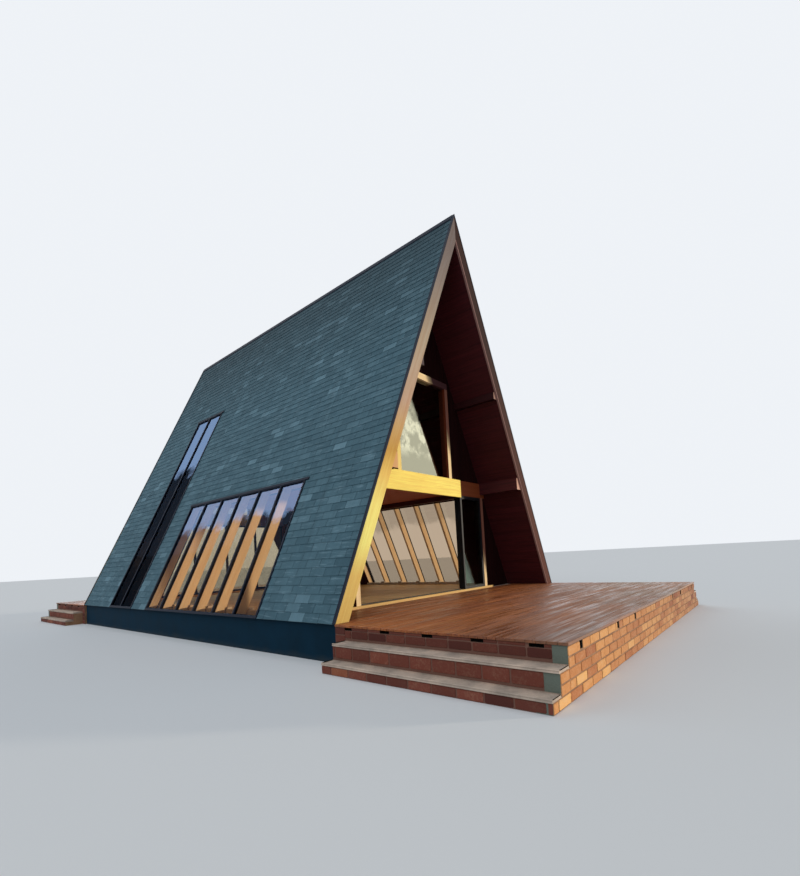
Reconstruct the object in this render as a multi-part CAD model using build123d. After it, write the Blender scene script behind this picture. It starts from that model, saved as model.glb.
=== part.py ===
"""A-frame cabin with a deck at each end, at its real size in millimetres.

The ridge runs along Y and the open front gable faces -Y. X = 0 is the plane of the
ridge, Z = 0 is the ground, and Y = 0 is half way between the ends of the two decks.
Depths into the roof are measured square to the slope, from the outer face of the shingles.
"""
import math
import os

from build123d import *

# Main sizes of the roof and the decks
roof_half_width = 3750
ridge_height = 7830
roof_length = 10540
floor_level = 540
front_deck_depth = 3160
rear_deck_depth = 2800
gable_recess = 1055

# Roof build-up, from the outside in
shingle_thickness = 25
sheathing_thickness = 25
rafter_depth = 170
rafter_width = 60
rafter_pitch = 760
lining_thickness = 20

# Edges of the roof
barge_thickness = 40
barge_lip = 5
barge_mitre_gap = 2
flashing_thickness = 6
flashing_face = 15
flashing_lap = 5
ridge_cap_reach = 45
ridge_cap_thickness = 10
ridge_beam_width = 80
ridge_beam_height = 240

# Windows in both slopes, placed from the front edge of the roof
large_window_start = 1880
large_window_panes = 6
large_pane_pitch = 739
large_window_rise = 2661
narrow_window_start = 7137
narrow_window_panes = 2
narrow_pane_pitch = 694
narrow_window_rise = 5797
window_bar = 40
window_head_bar = 60
window_sill_bar = 40
window_frame_proud = 10
window_frame_gap = 3
pane_depth = 15
pane_thickness = 12
header_thickness = 40
kerb_width = 95
kerb_height = 70
kerb_clearance = 5
rafter_block_width = 140
rafter_block_rise = 38
rafter_block_proud = 15

# Timber members along the slopes
edge_beam_bottom = 2325
edge_beam_height = 275
edge_beam_width = 60
purlin_bottom = 4300
purlin_height = 150
purlin_width = 60
loft_thickness = 150

# Gable walls
post_width = 110
post_depth = 170
side_panel_top_width = 120
upper_post_centre = 905
sill_overrun = 240
sill_height = 45
sill_proud = 30
beam_bottom = 2245
beam_height = 355
fascia_end = 1250
fascia_drop = 50
fascia_thickness = 40
lintel_bottom = 4690
lintel_height = 140
panel_setback = 55
panel_thickness = 60
gable_pane_thickness = 10
gable_pane_setback = 60

# Sliding door: one fixed leaf and four that slide, stacked at the right post
leaf_count = 5
leaf_thickness = 28
leaf_spacing = 6
leaf_front_gap = 5
leaf_side_gap = 6
leaf_overlap = 50
leaf_bar = 60
leaf_pane_thickness = 8
leaf_run_gap = 6
track_height = 6
track_width = 8
head_plate_thickness = 12
roller_length = 80
roller_inset = 120
roller_gap = 0.3

# Fixed glazing under the beam of the rear gable
rear_lights = 4
rear_bar = 60
rear_frame_depth = 60
rear_frame_setback = 40

# Masonry and floors
plinth_setback = 60
floor_board_thickness = 25
floor_slab_thickness = 120
deck_board_thickness = 30
deck_overhang = 15
deck_wall_thickness = 140
joist_depth = 140
joist_width = 60
joist_pitch = 600
ledger_size = 60
vent_width = 80
vent_height = 85
vent_depth = 70
vent_insets = (345, 1625, 2425)
socket_width = 155
socket_height = 40
socket_pitch = 650
socket_inset = 300

# Steps beside the decks
step_drop_upper = 196
step_drop_lower = 400
step_reach_upper = 238
step_reach_lower = 430
step_stop = 190
tread_thickness = 35
tread_nosing = 15

# Worked out from the sizes above
slope = math.atan2(ridge_height, roof_half_width)
ridge_z = floor_level + ridge_height
rafter_top = shingle_thickness + sheathing_thickness
rafter_bottom = rafter_top + rafter_depth
roof_depth = rafter_bottom + lining_thickness
barge_depth = roof_depth + barge_lip
flashing_cover = barge_thickness + flashing_lap
total_length = front_deck_depth + roof_length + rear_deck_depth
front_y = -total_length / 2
roof_front = front_y + front_deck_depth
roof_back = roof_front + roof_length
rear_y = -front_y
shell_front = roof_front + barge_thickness
shell_back = roof_back - barge_thickness
gable_front = roof_front + gable_recess
gable_back = roof_back - gable_recess
plinth_inner = roof_half_width - barge_depth / math.sin(slope)
plinth_outer = roof_half_width - plinth_setback
large_window_end = large_window_start + large_window_panes * large_pane_pitch
narrow_window_end = narrow_window_start + narrow_window_panes * narrow_pane_pitch
beam_z = floor_level + beam_bottom
beam_top = beam_z + beam_height
lintel_z = floor_level + lintel_bottom
lintel_top = lintel_z + lintel_height
sill_top = floor_level + sill_height
roof_half_at_beam = roof_half_width - roof_depth / math.sin(slope) - beam_bottom / math.tan(slope)
lower_post_outer = roof_half_at_beam - side_panel_top_width
opening_half = lower_post_outer - post_width
sill_half_length = lower_post_outer + sill_overrun
upper_post_outer = upper_post_centre + post_width / 2
upper_post_inner = upper_post_centre - post_width / 2
leaf_pitch = leaf_thickness + leaf_spacing
leaf_width = (2 * (opening_half - leaf_side_gap) + (leaf_count - 1) * leaf_overlap) / leaf_count
leaf_top = beam_z - head_plate_thickness - leaf_run_gap
loft_end = roof_front + (large_window_end + narrow_window_start) / 2
wall_top = floor_level - deck_board_thickness
wall_outer = roof_half_width - deck_overhang


def foot_x(depth):
    """Distance from the ridge plane to a face of the roof at floor level."""
    return roof_half_width - depth / math.sin(slope)


def face_x(depth, z):
    """Distance from the ridge plane to a face of the roof at a height."""
    return foot_x(depth) - (z - floor_level) / math.tan(slope)


def face_z(depth, x):
    """Height of a face of the roof at a distance from the ridge plane."""
    return floor_level + (foot_x(depth) - x) * math.tan(slope)


def slope_point(rise, depth):
    """Point at a distance up the right slope from its foot, and a depth into the roof."""
    x = roof_half_width - rise * math.cos(slope) - depth * math.sin(slope)
    z = floor_level + rise * math.sin(slope) - depth * math.cos(slope)
    return (x, z)


def box(x_low, x_high, y_low, y_high, z_low, z_high):
    """Upright block between two corners."""
    middle = ((x_low + x_high) / 2, (y_low + y_high) / 2, (z_low + z_high) / 2)
    return Pos(*middle) * Box(x_high - x_low, y_high - y_low, z_high - z_low)


def prism(outline, y_low, y_high):
    """Solid with an outline in X and Z that runs along Y."""
    edge = Polyline(*[(x, y_low, z) for x, z in outline], close=True)
    return extrude(make_face(edge), amount=y_high - y_low, dir=(0, 1, 0))


def left(solid):
    """The same piece on the other side of the ridge."""
    return mirror(solid, about=Plane.YZ)


def both_sides(solids):
    """Pieces of the right side and their mirror images."""
    return solids + [left(solid) for solid in solids]


def both_gables(make):
    """Pieces of the front gable and their mirror images at the rear."""
    middle = Plane.XZ.offset(-(gable_front + gable_back) / 2)
    pieces = make(gable_front)
    return pieces + [mirror(piece, about=middle) for piece in pieces]


def spread(start, end, pitch):
    """Even places between two ends, no further apart than a pitch, without the ends."""
    gaps = max(1, math.ceil((end - start) / pitch))
    return [start + (end - start) * step / gaps for step in range(1, gaps)]


def layer(depth_low, depth_high, y_low, y_high, inner_x=0):
    """One layer of the right slope, from its foot to the ridge."""
    outline = [
        (foot_x(depth_low), floor_level),
        (inner_x, face_z(depth_low, inner_x)),
        (inner_x, face_z(depth_high, inner_x)),
        (foot_x(depth_high), floor_level),
    ]
    return prism(outline, y_low, y_high)


def window_sizes():
    """Start, end, pane pitch, number of panes and rise of each window in a slope."""
    return [
        (large_window_start, large_window_end, large_pane_pitch, large_window_panes, large_window_rise),
        (narrow_window_start, narrow_window_end, narrow_pane_pitch, narrow_window_panes, narrow_window_rise),
    ]


def window_hole(start, end, rise):
    """The hole that a window leaves through every layer of the right slope."""
    outline = [
        (foot_x(-window_bar), floor_level),
        slope_point(rise, -window_bar),
        slope_point(rise, barge_depth),
        (foot_x(barge_depth), floor_level),
    ]
    return prism(outline, roof_front + start, roof_front + end)


def cut_windows(solid):
    """A layer of the right slope with its two windows cut through."""
    for start, end, pitch, panes, rise in window_sizes():
        solid = solid - window_hole(start, end, rise)
    return solid


def shingle_layer():
    return cut_windows(layer(0, shingle_thickness, shell_front, shell_back))


def sheathing():
    return cut_windows(layer(shingle_thickness, rafter_top, shell_front, shell_back))


def lining():
    return cut_windows(layer(rafter_bottom, roof_depth, shell_front, shell_back))


def rafter_places():
    """Middle of every rafter, from the front edge of the roof."""
    half = rafter_width / 2
    places = [barge_thickness + half]
    for start, end, pitch, panes, rise in window_sizes():
        trimmer = start - half
        places += spread(places[-1], trimmer, rafter_pitch)
        places.append(trimmer)
        places += [start + pitch * pane for pane in range(1, panes)]
        places.append(end + half)
    last = roof_length - barge_thickness - half
    places += spread(places[-1], last, rafter_pitch)
    places.append(last)
    return places


def rafters():
    half = rafter_width / 2
    inner = ridge_beam_width / 2
    return [
        layer(rafter_top, rafter_bottom, roof_front + place - half, roof_front + place + half, inner)
        for place in rafter_places()
    ]


def window_headers():
    """Boards that close the head of each window, between its rafters."""
    boards = []
    for start, end, pitch, panes, rise in window_sizes():
        outline = [
            slope_point(rise, rafter_top),
            slope_point(rise + header_thickness, rafter_top),
            slope_point(rise + header_thickness, rafter_bottom),
            slope_point(rise, rafter_bottom),
        ]
        for pane in range(panes):
            low = start + pitch * pane + (rafter_width / 2 if pane else 0)
            high = start + pitch * (pane + 1) - (rafter_width / 2 if pane < panes - 1 else 0)
            boards.append(prism(outline, roof_front + low, roof_front + high))
    return boards


def window_kerb(start, end, pitch, panes):
    """Low inner sill along the foot of a window, with a block before each rafter."""
    outer = face_x(rafter_bottom, floor_level + kerb_height) - kerb_clearance
    kerb = box(outer - kerb_width, outer, roof_front + start, roof_front + end,
               floor_level, floor_level + kerb_height)
    block_top = floor_level + kerb_height + rafter_block_rise
    block_outer = face_x(rafter_bottom, block_top) - kerb_clearance
    half = rafter_block_width / 2
    for pane in range(1, panes):
        middle = roof_front + start + pitch * pane
        kerb = kerb + box(outer - kerb_width - rafter_block_proud, block_outer,
                          middle - half, middle + half, floor_level, block_top)
    return kerb


def window_kerbs():
    return [
        window_kerb(start, end, pitch, panes)
        for start, end, pitch, panes, rise in window_sizes()
    ]


def pane_outlines(start, end, pitch, panes, rise, depth_low, depth_high):
    """Solids that fill the panes of one window between two depths."""
    low_z = floor_level + window_sill_bar
    outline = [
        (face_x(depth_low, low_z), low_z),
        slope_point(rise - window_head_bar, depth_low),
        slope_point(rise - window_head_bar, depth_high),
        (face_x(depth_high, low_z), low_z),
    ]
    solids = []
    for pane in range(panes):
        low = start + pitch * pane + (window_bar / 2 if pane else window_bar)
        high = start + pitch * (pane + 1) - (window_bar / 2 if pane < panes - 1 else window_bar)
        solids.append(prism(outline, roof_front + low, roof_front + high))
    return solids


def window_frame(start, end, pitch, panes, rise):
    """Outer frame and upright bars of one window in the right slope."""
    outline = [
        (foot_x(-window_frame_proud), floor_level),
        slope_point(rise - window_frame_gap, -window_frame_proud),
        slope_point(rise - window_frame_gap, rafter_top),
        (foot_x(rafter_top), floor_level),
    ]
    frame = prism(outline, roof_front + start + window_frame_gap, roof_front + end - window_frame_gap)
    for hole in pane_outlines(start, end, pitch, panes, rise, -window_bar, barge_depth):
        frame = frame - hole
    return frame


def window_panes(start, end, pitch, panes, rise):
    return pane_outlines(start, end, pitch, panes, rise, pane_depth, pane_depth + pane_thickness)


def barge_board(y_low, y_high):
    """Board over the end of the right slope, cut square to the ridge plane."""
    return layer(0, barge_depth, y_low, y_high, barge_mitre_gap / 2)


def barge_boards():
    boards = [
        barge_board(roof_front, shell_front),
        barge_board(shell_back, roof_back),
    ]
    return both_sides(boards)


def rake_flashing():
    """Folded metal over the front edge of both slopes."""
    top = layer(-flashing_thickness, 0, roof_front, roof_front + flashing_cover)
    face = layer(-flashing_thickness, flashing_face, roof_front - flashing_thickness, roof_front)
    side = top + face
    return side + left(side)


def rake_flashings():
    front = rake_flashing()
    middle = Plane.XZ.offset(-(roof_front + roof_back) / 2)
    return [front, mirror(front, about=middle)]


def ridge_cap():
    """Folded cap between the two rake flashings."""
    outline = [
        (ridge_cap_reach, face_z(0, ridge_cap_reach)),
        (0, face_z(0, 0)),
        (-ridge_cap_reach, face_z(0, ridge_cap_reach)),
        (-ridge_cap_reach, face_z(-ridge_cap_thickness, ridge_cap_reach)),
        (0, face_z(-ridge_cap_thickness, 0)),
        (ridge_cap_reach, face_z(-ridge_cap_thickness, ridge_cap_reach)),
    ]
    return prism(outline, roof_front + flashing_cover, roof_back - flashing_cover)


def ridge_beam():
    half = ridge_beam_width / 2
    peak = face_z(rafter_top, 0)
    shoulder = face_z(rafter_top, half)
    bottom = shoulder - ridge_beam_height
    outline = [(-half, bottom), (half, bottom), (half, shoulder), (0, peak), (-half, shoulder)]
    return prism(outline, shell_front, shell_back)


def slope_member(bottom, height, width):
    """Timber along the right slope's lining, broken at the narrow window."""
    low = floor_level + bottom
    high = low + height
    inner = face_x(roof_depth, high) - width
    outline = [
        (face_x(roof_depth, low), low),
        (face_x(roof_depth, high), high),
        (inner, high),
        (inner, low),
    ]
    front_end = roof_front + narrow_window_start - rafter_width
    rear_start = roof_front + narrow_window_end + rafter_width
    return [
        prism(outline, shell_front, front_end),
        prism(outline, rear_start, shell_back),
    ]


def edge_beams():
    return both_sides(slope_member(edge_beam_bottom, edge_beam_height, edge_beam_width))


def upper_purlins():
    return both_sides(slope_member(purlin_bottom, purlin_height, purlin_width))


def between_slopes(z_low, z_high, y_low, y_high):
    """Solid that fills the inside of the roof between two heights."""
    outline = [
        (-face_x(roof_depth, z_low), z_low),
        (face_x(roof_depth, z_low), z_low),
        (face_x(roof_depth, z_high), z_high),
        (-face_x(roof_depth, z_high), z_high),
    ]
    return prism(outline, y_low, y_high)


def minus_all(solid, others):
    """A solid with other pieces cut out of it."""
    for other in others:
        solid = solid - other
    return solid


def loft_floor():
    top = beam_top
    slab = between_slopes(top - loft_thickness, top, gable_front + post_depth, loft_end)
    return minus_all(slab, edge_beams())


def gable_beam(y_face):
    """Beam over the doorway, with a deeper fascia board on most of its face."""
    front = y_face - fascia_thickness
    beam = between_slopes(beam_z, beam_top, y_face, y_face + post_depth)
    fascia = between_slopes(beam_z - fascia_drop, beam_top, front, y_face)
    fascia = fascia - box(fascia_end, roof_half_width, front, y_face, floor_level, beam_top)
    return [minus_all(beam + fascia, edge_beams())]


def gable_sill(y_face):
    return [box(-sill_half_length, sill_half_length, y_face - sill_proud, y_face + post_depth,
                floor_level, sill_top)]


def gable_posts(y_face):
    """Two posts on the sill and two on the beam."""
    back = y_face + post_depth
    lower = box(opening_half, lower_post_outer, y_face, back, sill_top, beam_z)
    upper = box(upper_post_inner, upper_post_outer, y_face, back, beam_top, lintel_z)
    return both_sides([lower, upper])


def gable_lintel(y_face):
    return [box(-upper_post_outer, upper_post_outer, y_face, y_face + post_depth, lintel_z, lintel_top)]


def lower_panels(y_face):
    """Boarding between each lower post and the slope beside it."""
    low = y_face + panel_setback
    panel = between_slopes(floor_level, beam_z, low, low + panel_thickness)
    panel = panel - box(-lower_post_outer, lower_post_outer, low, low + panel_thickness,
                        floor_level, beam_z)
    panel = minus_all(panel, gable_sill(y_face))
    return panel.solids()


def upper_panel(y_face):
    """Boarding round the upper window, up to the ridge."""
    low = y_face + panel_setback
    high = low + panel_thickness
    outline = [
        (-face_x(roof_depth, beam_top), beam_top),
        (face_x(roof_depth, beam_top), beam_top),
        (0, face_z(roof_depth, 0)),
    ]
    panel = prism(outline, low, high)
    panel = panel - box(-upper_post_outer, upper_post_outer, low, high, beam_top, lintel_top)
    return [minus_all(panel, edge_beams() + upper_purlins())]


def upper_pane(y_face):
    low = y_face + gable_pane_setback
    return [box(-upper_post_inner, upper_post_inner, low, low + gable_pane_thickness,
                beam_top, lintel_z)]


def leaf_place(index):
    """Front face and right edge of a door leaf, stacked at the right post."""
    y_low = gable_front + leaf_front_gap + index * leaf_pitch
    return y_low, opening_half - leaf_side_gap


def leaf_bottom(index):
    """The fixed leaf stands on the sill and the others run above their tracks."""
    if index == 0:
        return sill_top
    return sill_top + track_height + leaf_run_gap


def leaf_frame(index):
    """Stiles and rails of one leaf, with roller shoes under a leaf that slides."""
    y_low, right = leaf_place(index)
    y_high = y_low + leaf_thickness
    edge = opening_half if index == 0 else right
    low = leaf_bottom(index)
    high = beam_z - head_plate_thickness if index == 0 else leaf_top
    frame = box(right - leaf_width, edge, y_low, y_high, low, high)
    frame = frame - box(right - leaf_width + leaf_bar, right - leaf_bar, y_low, y_high,
                        low + leaf_bar, high - leaf_bar)
    if index > 0:
        middle = (y_low + y_high) / 2
        rail = sill_top + track_height + roller_gap
        for start in (right - leaf_width + roller_inset, right - roller_inset - roller_length):
            frame = frame + box(start, start + roller_length, middle - track_width / 2,
                                middle + track_width / 2, rail, low)
    return frame


def leaf_pane(index):
    y_low, right = leaf_place(index)
    middle = y_low + leaf_thickness / 2
    half = leaf_pane_thickness / 2
    high = beam_z - head_plate_thickness if index == 0 else leaf_top
    return box(right - leaf_width + leaf_bar, right - leaf_bar, middle - half, middle + half,
               leaf_bottom(index) + leaf_bar, high - leaf_bar)


def door_head():
    """Plate under the beam that the leaves run below."""
    return box(-opening_half, opening_half, gable_front, gable_front + post_depth,
               beam_z - head_plate_thickness, beam_z)


def door_tracks():
    """One low rail on the sill under each leaf that slides."""
    rails = []
    for index in range(1, leaf_count):
        y_low, right = leaf_place(index)
        middle = y_low + leaf_thickness / 2
        rails.append(box(-opening_half, opening_half, middle - track_width / 2,
                         middle + track_width / 2, sill_top, sill_top + track_height))
    return rails


def rear_light_width():
    return (2 * opening_half - (rear_lights + 1) * rear_bar) / rear_lights


def rear_lights_between(y_low, y_high):
    """Solids that fill the lights of the rear glazing."""
    width = rear_light_width()
    solids = []
    for light in range(rear_lights):
        x_low = -opening_half + rear_bar + light * (width + rear_bar)
        solids.append(box(x_low, x_low + width, y_low, y_high, sill_top + rear_bar, beam_z - rear_bar))
    return solids


def rear_frame():
    high = gable_back - rear_frame_setback
    low = high - rear_frame_depth
    frame = box(-opening_half, opening_half, low, high, sill_top, beam_z)
    return minus_all(frame, rear_lights_between(low, high))


def rear_glass():
    middle = gable_back - rear_frame_setback - rear_frame_depth / 2
    half = gable_pane_thickness / 2
    return rear_lights_between(middle - half, middle + half)


def plinth_walls():
    return both_sides([box(plinth_inner, plinth_outer, roof_front, roof_back, 0, floor_level)])


def gable_foundation(y_face):
    return [box(-plinth_inner, plinth_inner, y_face - sill_proud, y_face + post_depth, 0, floor_level)]


def inner_floor(top, thickness):
    """Slab between the plinth walls and the two gable foundations."""
    return box(-plinth_inner, plinth_inner, gable_front + post_depth, gable_back - post_depth,
               top - thickness, top)


def floor_boards():
    return inner_floor(floor_level, floor_board_thickness)


def ground_slab():
    return inner_floor(floor_level - floor_board_thickness, floor_slab_thickness)


def deck_boards(outer_y, roof_y, gable_y):
    """Deck in front of a gable, and on under the overhang of the roof."""
    open_part = box(-roof_half_width, roof_half_width, min(outer_y, roof_y), max(outer_y, roof_y),
                    wall_top, floor_level)
    under_roof = box(-plinth_inner, plinth_inner, min(roof_y, gable_y), max(roof_y, gable_y),
                     wall_top, floor_level)
    return open_part + under_roof


def deck_vents(face, inward):
    """Openings in the top course of a deck's end wall, in front of the space below."""
    recess = face + inward * vent_depth
    half = vent_width / 2
    vents = [
        box(wall_outer - inset - half, wall_outer - inset + half, min(face, recess), max(face, recess),
            wall_top - vent_height, wall_top)
        for inset in vent_insets
    ]
    return both_sides(vents)


def joist_sockets(face, roof_y, inward):
    """Shallow gaps below the boards, along the top of a deck's side walls."""
    half = socket_width / 2
    count = int((abs(roof_y - face) - socket_inset - half) / socket_pitch) + 1
    sockets = []
    for index in range(count):
        middle = face + inward * (socket_inset + index * socket_pitch)
        sockets.append(box(wall_outer - vent_depth, wall_outer, middle - half, middle + half,
                           wall_top - socket_height, wall_top))
    return both_sides(sockets)


def deck_walls(outer_y, roof_y, inward):
    """Brick walls under the three free edges of a deck."""
    face = outer_y + inward * deck_overhang
    inner = face + inward * deck_wall_thickness
    outer = box(-wall_outer, wall_outer, min(face, roof_y), max(face, roof_y), 0, wall_top)
    hollow_x = wall_outer - deck_wall_thickness
    walls = outer - box(-hollow_x, hollow_x, min(inner, roof_y), max(inner, roof_y), 0, wall_top)
    return minus_all(walls, deck_vents(face, inward) + joist_sockets(face, roof_y, inward))


def joists(outer_y, gable_y, inward):
    """Joists along Y and the two ledgers that carry their ends."""
    start = outer_y + inward * (deck_overhang + deck_wall_thickness)
    end = gable_y - inward * sill_proud
    reach = plinth_inner - ledger_size
    low = wall_top - joist_depth
    frame = box(-reach, reach, min(start, start + inward * ledger_size),
                max(start, start + inward * ledger_size), low - ledger_size, low)
    frame = frame + box(-reach, reach, min(end, end - inward * ledger_size),
                        max(end, end - inward * ledger_size), low - ledger_size, low)
    half = joist_width / 2
    for middle in [-reach + half] + spread(-reach + half, reach - half, joist_pitch) + [reach - half]:
        frame = frame + box(middle - half, middle + half, min(start, end), max(start, end), low, wall_top)
    return frame


def flight_span(outer_y, roof_y, inward):
    """Where a flight of side steps starts and stops along a deck."""
    return sorted((outer_y + inward * deck_overhang, roof_y - inward * step_stop))


def step_base(outer_y, roof_y, inward):
    """Brickwork under both treads of the right-hand flight."""
    y_low, y_high = flight_span(outer_y, roof_y, inward)
    upper = floor_level - step_drop_upper - tread_thickness
    lower = floor_level - step_drop_lower - tread_thickness
    reach_upper = wall_outer + step_reach_upper - tread_nosing
    reach_lower = wall_outer + step_reach_lower - tread_nosing
    outline = [
        (wall_outer, 0),
        (reach_lower, 0),
        (reach_lower, lower),
        (reach_upper, lower),
        (reach_upper, upper),
        (wall_outer, upper),
    ]
    return prism(outline, y_low, y_high)


def step_treads(outer_y, roof_y, inward):
    y_low, y_high = flight_span(outer_y, roof_y, inward)
    upper = floor_level - step_drop_upper
    lower = floor_level - step_drop_lower
    back_of_lower = wall_outer + step_reach_upper - tread_nosing
    return [
        box(wall_outer, wall_outer + step_reach_upper, y_low, y_high, upper - tread_thickness, upper),
        box(back_of_lower, wall_outer + step_reach_lower, y_low, y_high, lower - tread_thickness, lower),
    ]


def save(node, pieces):
    """Write one node, as a single solid or as several that don't touch."""
    solids = []
    for piece in pieces if isinstance(pieces, list) else [pieces]:
        solids += piece.solids()
    shape = solids[0] if len(solids) == 1 else Compound(children=solids)
    export_step(shape, f"parts/{node}.step")


def save_masonry():
    save("plinth_walls", plinth_walls())
    save("gable_foundations", both_gables(gable_foundation))
    save("ground_slab", ground_slab())
    save("floor_boards", floor_boards())
    front = (front_y, roof_front, 1)
    rear = (rear_y, roof_back, -1)
    save("front_deck_walls", deck_walls(*front))
    save("rear_deck_walls", deck_walls(*rear))
    save("front_deck_boards", deck_boards(front_y, roof_front, gable_front - sill_proud))
    save("rear_deck_boards", deck_boards(rear_y, roof_back, gable_back + sill_proud))
    save("deck_joists", [joists(front_y, gable_front, 1), joists(rear_y, gable_back, -1)])
    save("step_bases", both_sides([step_base(*front), step_base(*rear)]))
    save("step_treads", both_sides(step_treads(*front) + step_treads(*rear)))


def save_roof():
    for node, piece in (("shingles", shingle_layer()), ("roof_deck", sheathing()), ("lining", lining())):
        save(f"{node}_right", piece)
        save(f"{node}_left", left(piece))
    save("rafters_right", rafters())
    save("rafters_left", [left(rafter) for rafter in rafters()])
    save("window_headers", both_sides(window_headers()))
    save("window_kerbs", both_sides(window_kerbs()))
    large, narrow = window_sizes()
    save("large_window_frames", both_sides([window_frame(*large)]))
    save("large_window_glass", both_sides(window_panes(*large)))
    save("narrow_window_frames", both_sides([window_frame(*narrow)]))
    save("narrow_window_glass", both_sides(window_panes(*narrow)))
    save("ridge_beam", ridge_beam())
    save("ridge_cap", ridge_cap())
    save("barge_boards", barge_boards())
    save("rake_flashings", rake_flashings())
    save("loft_edge_beams", edge_beams())
    save("upper_purlins", upper_purlins())
    save("loft_floor", loft_floor())


def save_gables():
    save("gable_sills", both_gables(gable_sill))
    save("gable_beams", both_gables(gable_beam))
    save("gable_posts", both_gables(gable_posts))
    save("upper_lintels", both_gables(gable_lintel))
    save("gable_lower_panels", both_gables(lower_panels))
    save("gable_upper_panels", both_gables(upper_panel))
    save("upper_gable_glass", both_gables(upper_pane))
    save("rear_glazing_frame", rear_frame())
    save("rear_glazing_glass", rear_glass())


def save_door():
    save("door_head", door_head())
    save("door_tracks", door_tracks())
    save("fixed_leaf_frame", leaf_frame(0))
    save("fixed_leaf_glass", leaf_pane(0))
    for index in range(1, leaf_count):
        save(f"sliding_leaf_{index}_frame", leaf_frame(index))
        save(f"sliding_leaf_{index}_glass", leaf_pane(index))


os.makedirs("parts", exist_ok=True)
save_masonry()
save_roof()
save_gables()
save_door()
print("leaf width", leaf_width, "overlap", leaf_overlap)
print("length", total_length, "ridge", ridge_z)
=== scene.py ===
import math
import random

import bmesh
import bpy
from mathutils import Matrix, Vector


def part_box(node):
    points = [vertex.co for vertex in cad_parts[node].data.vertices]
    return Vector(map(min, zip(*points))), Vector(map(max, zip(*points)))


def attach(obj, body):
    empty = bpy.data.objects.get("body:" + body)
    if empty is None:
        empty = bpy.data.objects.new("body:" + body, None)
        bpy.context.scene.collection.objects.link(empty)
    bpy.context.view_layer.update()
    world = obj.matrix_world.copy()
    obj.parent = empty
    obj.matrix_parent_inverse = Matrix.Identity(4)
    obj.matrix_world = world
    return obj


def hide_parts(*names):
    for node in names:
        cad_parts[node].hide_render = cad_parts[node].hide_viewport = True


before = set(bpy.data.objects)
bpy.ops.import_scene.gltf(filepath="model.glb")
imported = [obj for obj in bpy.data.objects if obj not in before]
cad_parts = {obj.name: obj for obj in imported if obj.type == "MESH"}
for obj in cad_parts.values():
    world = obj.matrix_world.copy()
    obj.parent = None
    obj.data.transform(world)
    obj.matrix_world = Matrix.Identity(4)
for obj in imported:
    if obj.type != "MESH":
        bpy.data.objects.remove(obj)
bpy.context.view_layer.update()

# A-frame cabin: its shingles, boards, bricks, glass and finishes, with camera and light.
# Metres; the ridge runs along Y, the open gable faces -Y and Z = 0 is the ground.

# Roof, as packed
half_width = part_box("shingles_right")[1].x
floor_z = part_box("shingles_right")[0].z
ridge_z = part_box("shingles_right")[1].z
shell_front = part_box("shingles_right")[0].y
shell_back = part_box("shingles_right")[1].y
roof_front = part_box("barge_boards")[0].y
roof_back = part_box("barge_boards")[1].y
wall_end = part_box("rear_deck_walls")[1].y
slope = math.atan2(ridge_z - floor_z, half_width)
run = math.cos(slope)
climb = math.sin(slope)

# Depths into the roof, square to the slope, from the outer face of the shingles
shingle_depth = 0.025
lining_depth = (half_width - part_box("lining_right")[1].x) * climb
lining_thickness = 0.02
roof_depth = lining_depth + lining_thickness
frame_proud = 0.01
frame_gap = 0.003

# Shingles
course_exposure = 0.143
tab_width = 0.333
tab_slot = 0.007
tab_depth = 0.012
tab_lift = 0.0018
tab_skew = 0.002
tab_tail = 0.0005
pale_share = 0.09
butt_lift = 0.011
head_lap = 0.012
short_strip = 0.02
underlay_cut = 0.0008

# Boards
deck_pitch = 0.1053
floor_pitch = 0.142
lining_pitch = 0.12
gable_pitch = 0.11
board_gap = 0.004
joist_pitch = 0.6
board_cut = 0.003
plank_cut = 0.0025
plank_dip = 0.0012
end_gap = 0.001
gable_board_thickness = 0.06

# Places where painted light and shade change the colour of the gable's timber
beam_level = 3.0
purlin_level = 4.0
fascia_end = 1.25
shadow_offset = 0.95
highlight_edge_width = 0.012

# Bricks
brick_length = 0.29
brick_joint = 0.014
brick_proud = 0.007
shortest_brick = 0.025
brick_slack = 0.003
corner_lap = 0.005
deck_courses = 5
vent_places = (0.345, 1.625, 2.425)
vent_width = 0.08
vent_height = 0.085
socket_width = 0.155
socket_height = 0.04
socket_inset = 0.3
socket_pitch = 0.65
hollow_depth = 0.066
hollow_edge = 0.0015
bare_patch = 0.15
wall_tones = (0.72, 0.12)
# The side, riser and foot bricks face along X; their low tones are painted shade.
side_shade_tones = (0.1, 0.07)
riser_shade_tones = (0.22, 0.05)
foot_shade_tones = (0.2, 0.09)
flight_tones = (0.68, 0.12)

# Side steps, down from the floor and out from the deck wall
upper_tread_drop = 0.196
lower_tread_drop = 0.4
upper_tread_reach = 0.238
lower_tread_reach = 0.43
tread_nosing = 0.015
tread_thickness = 0.035
tread_stop = 0.19
tread_rounding = 0.012
tread_wear = 0.002
tread_lengths = 14
step_courses = 3

# Head flashings of the side windows, from the top edge of each opening
flashing_below = 0.045
flashing_above = 0.012
flashing_height = 0.018
flashing_front = 0.09
flashing_back = 0.03
flashing_cut = 0.003

# Camera, as fitted to the photograph
camera_place = (-7.905, -9.815, 1.387)
camera_yaw = 0.8726
camera_pitch = 0.0463
camera_roll = -0.0532
camera_lens = 18.81
camera_shift = 0.1129

body = "cabin"


def rgb(red, green, blue):
    """Colour from 0 to 255 as it looks on a screen, for a shader."""
    shares = [value / 255 for value in (red, green, blue)]
    linear = [s / 12.92 if s <= 0.04045 else ((s + 0.055) / 1.055) ** 2.4 for s in shares]
    return (*linear, 1)


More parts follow.
